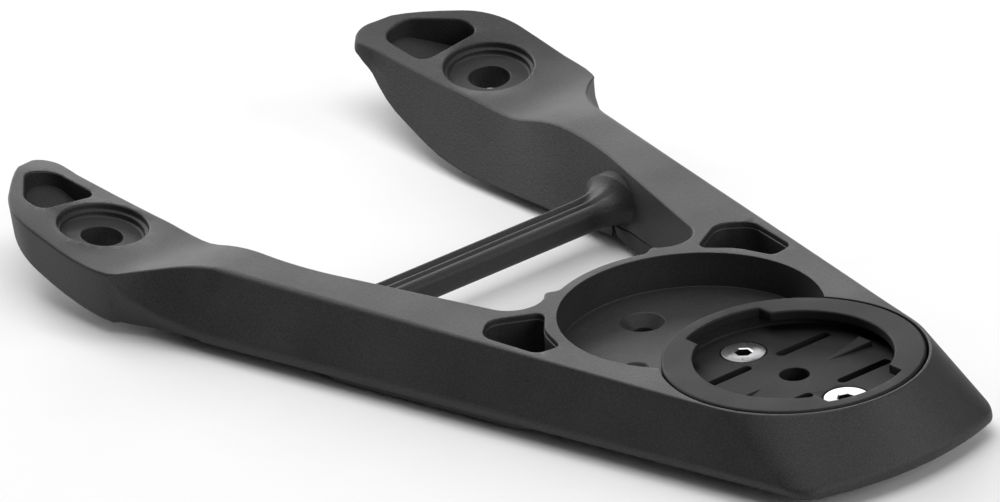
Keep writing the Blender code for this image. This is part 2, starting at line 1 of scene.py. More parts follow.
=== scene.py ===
"""Looks of the out-front cycling-computer mount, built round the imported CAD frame.

Shapes are worked out in millimetres about the puck's centre (+X across, +Y back to the
handlebar, +Z up, z = 0 on the flat top of the arms) and moved to the row frame at the end.
"""

import math

import bmesh
import bpy
import numpy as np
from mathutils import Matrix, Vector
from mathutils.geometry import delaunay_2d_cdt


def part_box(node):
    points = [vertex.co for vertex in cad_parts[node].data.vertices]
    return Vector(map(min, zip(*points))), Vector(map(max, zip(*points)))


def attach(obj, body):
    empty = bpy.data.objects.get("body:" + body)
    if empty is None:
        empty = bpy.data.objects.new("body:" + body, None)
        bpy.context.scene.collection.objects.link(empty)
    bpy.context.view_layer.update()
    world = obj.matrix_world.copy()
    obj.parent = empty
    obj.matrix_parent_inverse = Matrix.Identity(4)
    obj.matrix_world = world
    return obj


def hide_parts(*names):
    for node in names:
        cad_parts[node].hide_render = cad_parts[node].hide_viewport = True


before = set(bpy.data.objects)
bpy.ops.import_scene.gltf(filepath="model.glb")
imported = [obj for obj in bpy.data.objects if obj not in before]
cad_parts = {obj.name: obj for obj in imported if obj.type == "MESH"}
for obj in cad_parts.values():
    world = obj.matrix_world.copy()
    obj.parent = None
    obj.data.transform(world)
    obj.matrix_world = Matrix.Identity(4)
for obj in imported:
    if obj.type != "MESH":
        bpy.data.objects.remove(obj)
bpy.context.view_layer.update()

MM = 0.001
_puck_low, _puck_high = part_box("quarter_turn_puck")
PUCK_TOP, PUCK_R, SCREW_Y = 0.1, 17.5, 10.15
ORIGIN = Vector(((_puck_low[0] + _puck_high[0]) / 2, (_puck_low[1] + _puck_high[1]) / 2,
                 _puck_high[2] - PUCK_TOP * MM))

# Puck: its levels, and the opening in its lip with two notches
PUCK_UNDER, PUCK_FLOOR, LIP_UNDER = -4.7, -2.86, -1.25
LIP_R, GROOVE_R, NOTCH_R, NOTCH_HALF = 13.3, 15.6, 15.4, 6.4

# Pockets: STEP is from one centre to the other, and WALL_R is the outside of the rear one
POCKET_R, POCKET_Z, STEP = 17.85, -5.0, 20.33
WALL_R, NECK_R, NECK = 19.5, 4.4, (13.2, 41.6)

# Screw holes in the pocket floors, over inserts set in from below
MOUTH_R, SIDE_MOUTH_R, HOLE_R, HOLE_END = 3.0, 2.0, 1.48, -7.4
INSERT_TOP, INSERT_LOW, INSERT_HOLE_R = -7.3, -8.75, 2.6

# Outer sides of the arms: x = start + slope * y, on top and at the foot
SIDE_X, SIDE_SLOPE = 18.66, 0.2
FOOT_X, FOOT_SLOPE, FOOT_Z = 22.3, 0.2195, -8.6
BEVEL_H, BEVEL_GROWTH, BEVEL_IN = 1.35, 0.35, 1.15
NOSE_TOP_R, NOSE_FOOT_R, NOSE_MIDDLE, NOSE_CORNER_R = 18.3, 45.0, (0.0, 20.2), 4.2

# Inner sides: x on top and at INNER_Z beside the pads, and where the V starts to narrow
INNER_X, INNER_LOW_X, INNER_Z = 27.0, 20.9, -9.2
BEND_TOP, BEND_LOW = (24.9, 65.0), (20.8, 56.0)

# Underside and backing plates
UNDER_Z, UNDER_SLOPE, SWEEP_Y, SWEEP_SLOPE = -8.85, -0.0065, 95.0, 0.3415
PLATE_X, PLATE_T, BELLY_T, PLATE_GAP, PLATE_STEP_Y = 20.5, 1.5, 1.2, 0.12, 60.4
PLATE_SCREWS = (25.2, 47.0), (29.5, 70.0)

# Flares and pads
FLARE_Y, FLARE_R, FLARE_TURN, FLARE_END_Y = 77.0, 17.1, 62.0, 89.6
RAMP_Y, RAMP_SLOPE = 80.3, -0.27
PAD = (34.5, 101.4, -0.85)
PAD_SLOPE, PAD_ROLL, TIP_FLOOR = 0.115, 0.0766, 0.9

# Crossbar: its middle, and where its channels and its flared ends start
BAR_Y, BAR_Z, BAR_PLAIN_X, BAR_FLARE_X = 62.3, -5.55, 17.6, 17.2


# ---------------------------------------------------------------- curves and heights

def spread(start, end, steps):
    return [start + (end - start) * i / steps for i in range(steps + 1)]


def arc(centre, radius, start, end, steps):
    """Points on an arc, angles in degrees from +X."""
    return [(centre[0] + radius * math.cos(math.radians(a)),
             centre[1] + radius * math.sin(math.radians(a))) for a in spread(start, end, steps)]


def clamp(t):
    return min(max(t, 0.0), 1.0)


def lerp(a, b, t):
    return a + (b - a) * t


def bend(y, corner, half, before, after):
    """A line of slope before that turns into slope after at corner, rounded over +-half."""
    t = clamp((y - corner + half) / (2 * half))
    if t in (0.0, 1.0):
        return (after if t else before) * (y - corner)
    return -before * half + 2 * half * (before * t + (after - before) * t * t / 2)


def ease(t):
    t = clamp(t)
    return t * t * (3 - 2 * t)


def top_z(x, y):
    """Height of the top: flat arms, a short ramp down, then pads that rise and twist."""
    past, start = y - PAD[1], 78
    if y < start:
        return 0.0
    ramp = bend(y, RAMP_Y, 4.0, 0.0, RAMP_SLOPE)
    pad = PAD[2] + PAD_SLOPE * past + 0.001 * past * past
    twist = max(PAD_ROLL + 0.0091 * past, 0.035) * ease((y - start) / 10)
    wide = 0.9 * ease((y - start) / 6)
    return (ramp + pad + math.hypot(ramp - pad, wide)) / 2 + twist * (abs(x) - PAD[0])


def under_z(y, x=43.0):
    """Height of the underside: nearly flat, then swept up to the tips and twisted a little.
    The sweep starts more gently on the outer side."""
    twist = 0.05 * clamp((y - SWEEP_Y) / 13)
    half = 5.0 + 5.0 * ease((abs(x) - 33.0) / 9.0)
    return (UNDER_Z + UNDER_SLOPE * (y + 24.8) + bend(y, SWEEP_Y, half, 0.0, SWEEP_SLOPE)
            + twist * (abs(x) - 43.0))


def belly_z(y):
    """Lower face of a backing plate, with its thicker stretch near the front."""
    return under_z(y) - BELLY_T * ease(min((60.0 - y) / 5.0, (y - 22.5) / 3.0))


def normals(loop):
    """Unit normals of a closed plan loop, pointing left of its direction."""
    loop = np.asarray(loop, float)[:, :2]
    ahead = np.roll(loop, -1, 0) - loop
    ahead /= np.linalg.norm(ahead, axis=1)[:, None]
    back = np.roll(ahead, 1, 0)
    mean = ahead + back
    mean /= np.maximum(np.linalg.norm(mean, axis=1), 1e-9)[:, None]
    left = np.stack([-mean[:, 1], mean[:, 0]], 1)
    flat = np.stack([-ahead[:, 1], ahead[:, 0]], 1)
    return left / np.maximum((left * flat).sum(1), 0.5)[:, None]


def offset(loop, distance):
    """The plan loop moved left of its direction: inwards when it runs anticlockwise."""
    loop = np.asarray(loop, float)
    return loop[:, :2] + normals(loop) * distance


def at_height(loop, height):
    loop = np.asarray(loop, float)
    return np.array([(x, y, height(x, y) if callable(height) else height)
                     for x, y in loop[:, :2]])


def mirrored(half):
    """A closed loop from its right half, whose first and last points have x = 0."""
    half = np.asarray(half, float)
    left = half[1:-1][::-1].copy()
    left[:, 0] *= -1
    return np.vstack([half, left])


def soften(rings, reach, steps=4):
    """Rounds the corners of a profile carried by rings of points. reach is how far from each
    inner ring the rounding starts, a number or one for each point."""
    rings = [np.asarray(ring, float) for ring in rings]
    made = [rings[0]]
    last = len(rings) - 1
    for k in range(1, last):
        back, ahead = rings[k - 1] - rings[k], rings[k + 1] - rings[k]
        back_len = np.maximum(np.linalg.norm(back, axis=1), 1e-6)
        ahead_len = np.maximum(np.linalg.norm(ahead, axis=1), 1e-6)
        back, ahead = back / back_len[:, None], ahead / ahead_len[:, None]
        run = np.minimum(reach[k - 1], back_len * (0.92 if k == 1 else 0.47))
        run = np.minimum(run, ahead_len * (0.92 if k == last - 1 else 0.47))
        if np.max(run) < 1e-4:
            made.append(rings[k])
            continue
        weight = np.sqrt(np.clip((1 - (back * ahead).sum(1)) / 2, 1e-4, 1))[:, None]
        start, end = rings[k] + back * run[:, None], rings[k] + ahead * run[:, None]
        for t in spread(0.0, 1.0, steps):
            middle = 2 * weight * t * (1 - t)
            total = (1 - t) ** 2 + middle + t * t
            made.append(((1 - t) ** 2 * start + middle * rings[k] + t * t * end) / total)
    made.append(rings[-1])
    return made


# ---------------------------------------------------------------- shells

class Shell:
    """One closed surface, made of rings of points and flat fills between them."""

    def __init__(self):
        self.points, self.faces = [], []

    def ring(self, points):
        start = len(self.points)
        self.points.extend(tuple(float(c) for c in p) for p in points)
        return list(range(start, len(self.points)))

    def bridge(self, a, b):
        for i in range(len(a)):
            j = (i + 1) % len(a)
            self.faces.append((a[i], a[j], b[j], b[i]))

    def stack(self, rings):
        made = [self.ring(ring) for ring in rings]
        for a, b in zip(made, made[1:]):
            self.bridge(a, b)
        return made[0], made[-1]

    def cap(self, ring):
        self.faces.append(tuple(ring))

    def fan(self, ring, point):
        centre = self.ring([point])[0]
        for i in range(len(ring)):
            self.faces.append((ring[i], ring[(i + 1) % len(ring)], centre))

    def fill(self, loops, height=None, spacing=None, region=None):
        """Triangles between closed loops. spacing adds points between them, on height(x, y)."""
        ids = [i for loop in loops for i in loop]
        flat = np.array([self.points[i][:2] for i in ids])
        edges, start = [], 0
        for loop in loops:
            edges += [(start + i, start + (i + 1) % len(loop)) for i in range(len(loop))]
            start += len(loop)
        ends = np.array([(*flat[a], *flat[b]) for a, b in edges])
        extra = np.zeros((0, 2))
        if spacing:
            low, high = flat.min(0), flat.max(0)
            if region:
                low[1], high[1] = max(low[1], region[0]), min(high[1], region[1])
            rows = np.arange(low[1], high[1], spacing * 0.87)
            grid = [(x, y) for k, y in enumerate(rows)
                    for x in np.arange(low[0] + (k % 2) * spacing / 2, high[0], spacing)]
            grid = np.array(grid)
            near = np.array([np.min(np.hypot(*(flat - g).T)) for g in grid])
            grid = grid[near > spacing * 0.55]
            extra = grid[inside(grid, ends)]
        # Straight runs are bowed a little, because points in line with each other leave gaps.
        plain = np.vstack([flat, extra])
        bowed = plain + np.stack([1.0e-4 * plain[:, 1] ** 2, -0.7e-4 * plain[:, 0] ** 2], 1)
        verts, _, faces, source = delaunay_2d_cdt([Vector(p) for p in bowed], edges, [], 0,
                                                  1e-9)[:4]
        names, place = [], {}
        for i, olds in enumerate(source):
            place.update((o, i) for o in olds)
            first = min(olds)
            names.append(ids[first] if first < len(ids) else
                         self.ring([(*plain[first], height(*plain[first]))])[0])
        walls = {frozenset((place[a], place[b])) for a, b in edges}
        ends = np.array([(*bowed[a], *bowed[b]) for a, b in edges])
        keep = within(np.array([tuple(v) for v in verts]), faces, walls, ends)
        self.faces += [tuple(names[i] for i in face) for face, kept in zip(faces, keep) if kept]

    def mesh(self, name):
        bm = bmesh.new()
        verts = [bm.verts.new(point) for point in self.points]
        for face in self.faces:
            if len(set(face)) > 2:
                try:
                    bm.faces.new([verts[i] for i in face])
                except ValueError:
                    pass
        bmesh.ops.remove_doubles(bm, verts=bm.verts, dist=0.0005)
        bmesh.ops.dissolve_degenerate(bm, dist=0.0005, edges=bm.edges)
        loose = [v for v in bm.verts if not v.link_faces]
        bmesh.ops.delete(bm, geom=loose, context="VERTS")
        bmesh.ops.recalc_face_normals(bm, faces=bm.faces)
        if bm.calc_volume(signed=True) < 0:
            bmesh.ops.reverse_faces(bm, faces=bm.faces)
        mesh = bpy.data.meshes.new(name)
        bm.to_mesh(mesh)
        bm.free()
        return mesh


def within(verts, faces, walls, ends):
    """Which triangles are between the loops, spreading out from the largest one and changing
    over at each wall, so that a sliver along a wall is told right."""
    corners = verts[np.array(faces)]
    area = np.abs(np.cross(corners[:, 1] - corners[:, 0], corners[:, 2] - corners[:, 0]))
    start = int(area.argmax())
    sides = {}
    for i, face in enumerate(faces):
        for k in range(3):
            sides.setdefault(frozenset((face[k], face[k - 1])), []).append(i)
    keep = {start: bool(inside(corners[start].mean(0)[None], ends)[0])}
    queue = [start]
    while queue:
        here = queue.pop()
        for k in range(3):
            side = frozenset((faces[here][k], faces[here][k - 1]))
            for other in sides[side]:
                if other not in keep:
                    keep[other] = keep[here] != (side in walls)
                    queue.append(other)
    return [keep.get(i, False) for i in range(len(faces))]


def inside(points, ends):
    """Whether each point is inside the loops whose edges are given, by counting crossings."""
    x, y = points[:, 0][:, None], points[:, 1][:, None]
    x1, y1, x2, y2 = (ends[:, i][None, :] for i in range(4))
    spans = (y1 > y) != (y2 > y)
    rise = np.where(np.abs(y2 - y1) < 1e-12, 1e-12, y2 - y1)
    cross = x < x1 + (y - y1) * (x2 - x1) / rise
    return (spans & cross).sum(1) % 2 == 1


def as_object(name, mesh):
    made = bpy.data.objects.new(name, mesh)
    bpy.context.scene.collection.objects.link(made)
    return made


def booleans(made, steps):
    """Applies Boolean steps, each (operation, mesh), in millimetres."""
    helpers = []
    for operation, mesh in steps:
        helper = as_object("helper", mesh)
        helpers.append(helper)
        modifier = made.modifiers.new("step", "BOOLEAN")
        modifier.operation, modifier.solver, modifier.object = operation, "EXACT", helper
    bpy.context.view_layer.update()
    result = bpy.data.meshes.new_from_object(
        made.evaluated_get(bpy.context.evaluated_depsgraph_get()))
    made.modifiers.clear()
    made.data = result
    for helper in helpers:
        bpy.data.objects.remove(helper)
    return made


def finish_piece(name, source, body, material, stands_for, sharp=38.0, socket=None):
    """Moves a piece from millimetres to the row frame, shades it and hands it to the frame.
    socket is a second material, for the faces that carry index 1."""
    made = source if isinstance(source, bpy.types.Object) else as_object(name, source)
    made.name = made.data.name = name
    bm = bmesh.new()
    bm.from_mesh(made.data)
    bmesh.ops.remove_doubles(bm, verts=bm.verts, dist=0.002)
    bmesh.ops.dissolve_degenerate(bm, dist=0.001, edges=bm.edges)
    bmesh.ops.triangulate(bm, faces=[f for f in bm.faces if len(f.verts) > 4])
    bm.transform(Matrix.Translation(ORIGIN) @ Matrix.Scale(MM, 4))
    bm.to_mesh(made.data)
    bm.free()
    kept = [face.material_index for face in made.data.polygons]
    made.data.materials.clear()
    made.data.materials.append(material)
    if socket:
        made.data.materials.append(socket)
        made.data.polygons.foreach_set("material_index", kept)
    made.data.shade_smooth()
    made.data.set_sharp_from_angle(angle=math.radians(sharp))
    weighted = made.modifiers.new("weighted", "WEIGHTED_NORMAL")
    weighted.keep_sharp, weighted.weight = True, 80
    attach(made, body)
    if stands_for:
        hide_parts(*stands_for)
    return made


# ---------------------------------------------------------------- frame outline

def nose_columns():
    """(top, foot) points of half the nose, from the middle to where the straight side starts.
    The foot is a flat arc, then a small corner that touches both it and the side."""
    top = arc((0, 0), NOSE_TOP_R, -90, -math.degrees(math.atan(SIDE_SLOPE)), 24)
    inner = FOOT_X - NOSE_CORNER_R * math.hypot(1, FOOT_SLOPE)
    a, b = 1 + FOOT_SLOPE ** 2, FOOT_SLOPE * inner - NOSE_MIDDLE[1]
    c = inner ** 2 + NOSE_MIDDLE[1] ** 2 - (NOSE_FOOT_R - NOSE_CORNER_R) ** 2
    y = (-b - math.sqrt(b * b - a * c)) / a
    corner = (inner + FOOT_SLOPE * y, y)
    turn = math.degrees(math.atan2(corner[1] - NOSE_MIDDLE[1], corner[0]))
    foot = arc(NOSE_MIDDLE, NOSE_FOOT_R, -90, turn, 10)
    foot += arc(corner, NOSE_CORNER_R, turn, -math.degrees(math.atan(FOOT_SLOPE)), 14)[1:]
    return top, foot


def flare_columns():
    """Top edge where an arm widens into its pad, on an arc that carries on from the side."""
    heading = math.atan(SIDE_SLOPE)
    start = SIDE_X + SIDE_SLOPE * FLARE_Y
    turns = spread(heading, math.radians(FLARE_TURN), 16)[1:]
    return [(start + FLARE_R * (math.cos(heading) - math.cos(t)),
             FLARE_Y + FLARE_R * (math.sin(t) - math.sin(heading))) for t in turns]


def pad_columns():
    """Top edge of a pad, up its outer side and round the tip."""
    side = [(43.5, 89.9), (43.95, 91.6), (44.15, 93.6), (44.25, 96.2), (44.3, 99.2),
            (44.27, 102.2)]
    side += arc((31.1, 105.0), 13.1, 0, 46, 12)
    side += [(38.5, 116.2), (36.8, 117.9), (35.1, 119.5), (33.5, 120.8)]
    return side + arc((29.4, 119.6), 2.7, 64, 178, 12)


def inner_columns():
    """(top, low) points of the arm's inner side, from the pad's tip to the middle of the V.
    top is on the top face and low at INNER_Z."""
    top = [(26.72, 118.6), (26.85, 117.3)] + [(INNER_X, y) for y in spread(116.0, 80.0, 18)]
    low = [(23.4, 118.6), (22.9, 117.3)]
    low += [(INNER_LOW_X + 0.35 * max(y - 112.0, 0.0), y) for y in spread(116.0, 68.0, 18)]
    for step in spread(1.0, 0.0, 8)[1:]:
        slow = 1 - (1 - step) ** 2
        top.append((lerp(BEND_TOP[0], INNER_X, slow), lerp(BEND_TOP[1], 80.0, step)))
        low.append((lerp(BEND_LOW[0], INNER_LOW_X, slow), lerp(BEND_LOW[1], 68.0, step)))
    toward = math.degrees(math.atan2(NECK[1] - STEP, NECK[0]))
    # The neck's arc ends short of the rear pocket's wall, and a curve touching both joins them.
    neck = arc(NECK, NECK_R, -17, toward - 198, 18)
    end, onto = neck[-1], arc((0, STEP), WALL_R, toward + 10, 90, 14)
    ahead = math.radians(toward - 198)
    pull = math.dist(end, onto[0]) * 0.4
    first = (end[0] + pull * math.sin(ahead), end[1] - pull * math.cos(ahead))
    turn = math.radians(toward + 10)
    last = (onto[0][0] + pull * math.sin(turn), onto[0][1] - pull * math.cos(turn))
    for t in spread(0.0, 1.0, 6)[1:-1]:
        parts = ((1 - t) ** 3, 3 * t * (1 - t) ** 2, 3 * t * t * (1 - t), t ** 3)
        neck.append(tuple(sum(w * p[k] for w, p in zip(parts, (end, first, last, onto[0])))
                          for k in (0, 1)))
    for step in spread(0.0, 1.0, 10)[1:-1]:
        for points, (x, y) in ((top, BEND_TOP), (low, BEND_LOW)):
            points.append((lerp(x, neck[0][0], step), lerp(y, neck[0][1], step)))
    return top + neck + onto, low + neck + onto


# Points down the ridge, where an arm's outer side stops leaning out, from the flare's start
RIDGE = np.array([(39.4, 78.6, -7.6), (40.6, 83.0, -6.8), (41.5, 86.2, -5.7), (42.5, 88.4, -4.2),
                  (43.0, 89.1, -3.0), (43.35, 89.6, -2.2)])


def outline():
    """The frame's outer loop as sharp edges: on top, at the ridge and at the foot, and how
    far each is rounded. Each is a row of points round the whole loop."""
    nose_top, nose_foot = nose_columns()
    side = [(SIDE_X + SIDE_SLOPE * y, y) for y in spread(0.0, FLARE_Y, 30)]
    side_foot = [(FOOT_X + FOOT_SLOPE * y, y) for y in spread(0.0, FLARE_Y, 30)]
    flare, pad = flare_columns(), pad_columns()
    inner_top, inner_low = inner_columns()
    top, ridge, foot, soft = [], [], [], []
    for (x, y), (fx, fy) in zip(nose_top + side, nose_foot + side_foot):
        low = under_z(fy)
        z = low + BEVEL_H + BEVEL_GROWTH * clamp((fy - 5) / 40)
        t, foot_t = z / FOOT_Z, low / FOOT_Z
        top.append((x, y, 0.0))
        ridge.append((lerp(x, fx, t), lerp(y, fy, t), z))
        foot.append((lerp(x, fx, foot_t), lerp(y, fy, foot_t), low))
        soft.append((0.2 if y < 2 else 0.3 + 0.35 * ease((y - 15) / 50), 0.6, 0.9))
    heads = np.linalg.norm(np.diff(RIDGE, axis=0), axis=1)
    along = np.concatenate([[0], np.cumsum(heads)]) / heads.sum()
    for i, (x, y) in enumerate(flare):
        t = (i + 1) / len(flare)
        top.append((x, y, top_z(x, y)))
        ridge.append([np.interp(t, along, RIDGE[:, k]) for k in range(3)])
        by = lerp(FLARE_Y, FLARE_END_Y, t)
        foot.append((FOOT_X + FOOT_SLOPE * by, by, under_z(by)))
        soft.append((lerp(0.45, 0.3, t), lerp(0.9, 0.5, t), 0.9))
    pad_normals = normals(np.array([flare[-1]] + pad + [inner_top[0]]))[1:-1]
    for i, ((x, y), n) in enumerate(zip(pad, pad_normals)):
        z, low = top_z(x, y), under_z(y, x)
        lean = lerp(n * 0.1, np.array((-0.3, 0.0)), clamp((i - len(pad) + 15) / 12))
        reach, part = z - low, lerp(0.14, 0.5, min(i / 5, 1))
        top.append((x, y, z))
        ridge.append((x + lean[0] * reach * part, y + lean[1] * reach * part, lerp(z, low, part)))
        foot.append((x + lean[0] * reach, y + lean[1] * reach, low))
        soft.append((0.4, 0.3, min(0.9, reach * 0.3)))
    for (x, y), (lx, ly) in zip(inner_top, inner_low):
        z, low = top_z(x, y), under_z(ly, lx)
        t = (z - low) / (z - INNER_Z)
        top.append((x, y, z))
        ridge.append((lerp(x, lx, t / 2), lerp(y, ly, t / 2), lerp(z, low, 0.5)))
        foot.append((lerp(x, lx, t), lerp(y, ly, t), low))
        soft.append((0.4, 0.3, 0.6))
    top, ridge, foot = (mirrored(part) for part in (top, ridge, foot))
    soft = np.array(soft)
    soft = np.vstack([soft, soft[1:-1][::-1]])
    # The foot of the outer side is drawn in below the ridge, less and less along the flare.
    flare_end = len(nose_top) + len(side) + len(flare) - 1
    shift = BEVEL_IN * np.clip((flare_end - np.arange(len(foot))) / 6, 0, 1)
    half = (len(foot) + 2) // 2
    shift[half:] = shift[1:half - 1][::-1]
    drawn = foot.copy()
    drawn[:, :2] += normals(foot) * shift[:, None]
    return top, ridge, drawn, soft


def figure_eight(radius):
    """Round both pockets, whose circles overlap."""
    cusp = math.degrees(math.asin(STEP / 2 / radius))
    return (arc((0, STEP), radius, -cusp, 180 + cusp, 84)
            + arc((0, 0), radius, 180 - cusp, 360 + cusp, 84)[1:-1])


def rounded(corners, radii, steps=6):
    """A polygon with rounded corners, given anticlockwise."""
    points = []
    for i, (corner, radius) in enumerate(zip(corners, radii)):
        here = Vector(corner)
        back = (Vector(corners[i - 1]) - here).normalized()
        ahead = (Vector(corners[(i + 1) % len(corners)]) - here).normalized()
        half = back.angle(ahead) / 2
        centre = here + (back + ahead).normalized() * (radius / math.sin(half))
        first = here + back * (radius / math.tan(half)) - centre
        last = here + ahead * (radius / math.tan(half)) - centre
        turn = first.angle_signed(last)
        points += [tuple(centre + Matrix.Rotation(-turn * t, 2) @ first)
                   for t in spread(0.0, 1.0, steps)]
    return points


def dense(loop, longest):
    """The loop with its long edges divided."""
    made = []
    for i, (x, y) in enumerate(loop):
        nx, ny = loop[(i + 1) % len(loop)]
        parts = max(1, math.ceil(math.hypot(nx - x, ny - y) / longest))
        made += [(lerp(x, nx, k / parts), lerp(y, ny, k / parts)) for k in range(parts)]
    return made


def front_pocket_outline():
    corners = [(18.9, 25.0), (22.6, 25.6), (24.1, 35.0), (20.3, 38.2), (13.5, 34.4), (17.1, 30.4)]
    return dense(rounded(corners, [1.2, 1.6, 3.0, 2.5, 1.2, 8.0], 8), 1.2)


def tip_pocket_outline():
    corners = [(29.1, 109.1), (39.1, 108.8), (39.4, 112.1), (33.9, 118.7), (29.5, 118.3)]
    return dense(rounded(corners, [1.9, 1.5, 3.4, 3.4, 2.4], 8), 1.2)


def to_side(loop, side):
    loop = np.asarray(loop, float)
    if side > 0:
        return loop
    loop = loop[::-1].copy()
    loop[:, 0] *= -1
    return loop


def plate_outline():
    """Outer side of a backing plate, from the V's wall round the front and back to the tip."""
    points = [(12.1, 36.3), (12.1, 33.5), (14.2, 28.6), (17.4, 23.6), (20.0, 21.6), (23.6, 21.6),
              (25.0, 22.4)]
    points += [(PLATE_X + FOOT_SLOPE * y, y) for y in spread(24.4, 73.0, 20)]
    return (points + arc((34.0, 74.6), 2.6, -8, 90, 8) + arc((24.7, 75.2), 2.0, 90, 180, 6)
            + [(22.7, 63.0), (21.6, 61.2)])


# ---------------------------------------------------------------- frame

def pad_matrix(side):
    """The tilted place of a pad's bolt recess, whose own z = 0 is on the pad's top."""
    return (Matrix.Translation((side * PAD[0], PAD[1], PAD[2]))
            @ Matrix.Rotation(math.atan(PAD_SLOPE), 4, "X")
            @ Matrix.Rotation(-side * math.atan(PAD_ROLL), 4, "Y"))


def turned_rings(profile, reach, steps, place=Matrix(), round_steps=3):
    """Rings of a turned profile of (r, z), with its corners softened."""
    angles = np.linspace(0, 2 * np.pi, steps, endpoint=False)
    rings = [np.stack([r * np.cos(angles), r * np.sin(angles), np.full(steps, z)], 1)
             for r, z in profile]
    rings = soften(rings, reach, round_steps)
    turn, move = np.array(place.to_3x3()), np.array(place.translation)
    return [ring @ turn.T + move for ring in rings]


def hole_places():
    """Centres of the screw holes, one of which both pockets share."""
    places = []
    for y in (0.0, STEP):
        for dx, dy in ((0, -1), (-1, 0), (1, 0), (0, 1)):
            place = (dx * SCREW_Y, y + dy * SCREW_Y)
            if all(math.dist(place, other) > 1.0 for other in places):
                places.append(place)
    return places


def frame_shell():
    """The moulding without its crossbar, plate recesses and holes from below."""
    shell = Shell()
    top, ridge, foot, soft = outline()
    inward = normals(top)
    lead = top.copy()
    lead[:, :2] += inward * 1.2
    lead[:, 2] = [top_z(x, y) for x, y in lead[:, :2]]
    tail = foot.copy()
    tail[:, :2] += normals(foot) * 1.6
    tail[:, 2] = [under_z(y, x) for x, y in tail[:, :2]]
    rings = soften([lead, top, ridge, foot, tail], [soft[:, 0], soft[:, 1], soft[:, 2]], 5)
    outer, under = shell.stack(rings[1:-1])
    holes = []
    wall = [figure_eight(POCKET_R + 0.8), figure_eight(POCKET_R), figure_eight(POCKET_R),
            figure_eight(POCKET_R - 0.9)]
    rings = soften([at_height(w, z) for w, z in zip(wall, (0.0, 0.0, POCKET_Z, POCKET_Z))],
                   [0.12, 0.15], 4)
    first, floor = shell.stack(rings[1:-1])
    holes.append(first)
    seats = []
    for x, y in hole_places():
        wide = MOUTH_R if x == 0 else SIDE_MOUTH_R
        profile = [(wide + 0.4, POCKET_Z), (wide, POCKET_Z), (1.5, POCKET_Z - (wide - 1.5) * 1.05),
                   (HOLE_R, HOLE_END + 0.5), (HOLE_R, HOLE_END)]
        rings = turned_rings(profile, [0.15, 0.05, 0.05], 36, Matrix.Translation((x, y, 0)))
        first, last = shell.stack(rings[1:])
        shell.cap(last)
        seats.append(first)
    shell.fill([floor] + seats)
    for side in (-1, 1):
        pocket = to_side(front_pocket_outline(), side)
        ledge = offset(pocket, 0.12)
        rings = soften([at_height(offset(pocket, -0.8), 0.0), at_height(pocket, 0.0),
                        at_height(pocket, -0.8), at_height(ledge, -0.9),
                        at_height(ledge, -8.2)], [0.2, 0.1, 0.1], 3)
        first, last = shell.stack(rings[1:])
        shell.fill([last])
        holes.append(first)
        pocket = to_side(tip_pocket_outline(), side)
        rings = soften([at_height(offset(pocket, -0.8), top_z), at_height(pocket, top_z),
                        at_height(pocket, lambda x, y: under_z(y, x) + TIP_FLOOR)], [0.3], 4)
        first, last = shell.stack(rings[1:])
        shell.fill([last])
        holes.append(first)
        profile = [(7.2, 0.0), (6.25, 0.0), (6.2, -0.9), (5.75, -0.95), (5.7, -1.75),
                   (2.85, -1.75), (2.8, -5.9)]
        rings = turned_rings(profile, [0.3, 0.2, 0.15, 0.35, 0.2], 72, pad_matrix(side), 4)
        first, last = shell.stack(rings[1:])
        shell.cap(last)
        holes.append(first)
    shell.fill([outer] + holes, top_z, 1.6, (75.0, 125.0))
    shell.fill([under], lambda x, y: under_z(y, x), 2.5, (88.0, 125.0))
    return shell.mesh("mount_frame")


def prism_mesh(loop, low, high):
    """A prism over a plan loop, each of whose ends is at a level or on a height(x, y)."""
    shell = Shell()
    first, last = shell.stack([at_height(loop, low), at_height(loop, high)])
    for ring, end in ((first, low), (last, high)):
        shell.fill([ring], end, 3.0 if callable(end) else None)
    return shell.mesh("prism")


def turned_mesh(profile, steps, place):
    """A solid turned from a profile of (r, z), with sharp corners."""
    shell = Shell()
    first, last = shell.stack(turned_rings(profile, [0.0] * (len(profile) - 2), steps, place))
    shell.cap(first)
    shell.cap(last)
    return shell.mesh("turned")


def joined(meshes):
    """Separate closed meshes as one."""
    bm = bmesh.new()
    for mesh in meshes:
        bm.from_mesh(mesh)
    out = bpy.data.meshes.new("joined")
    bm.to_mesh(out)
    bm.free()
    return out


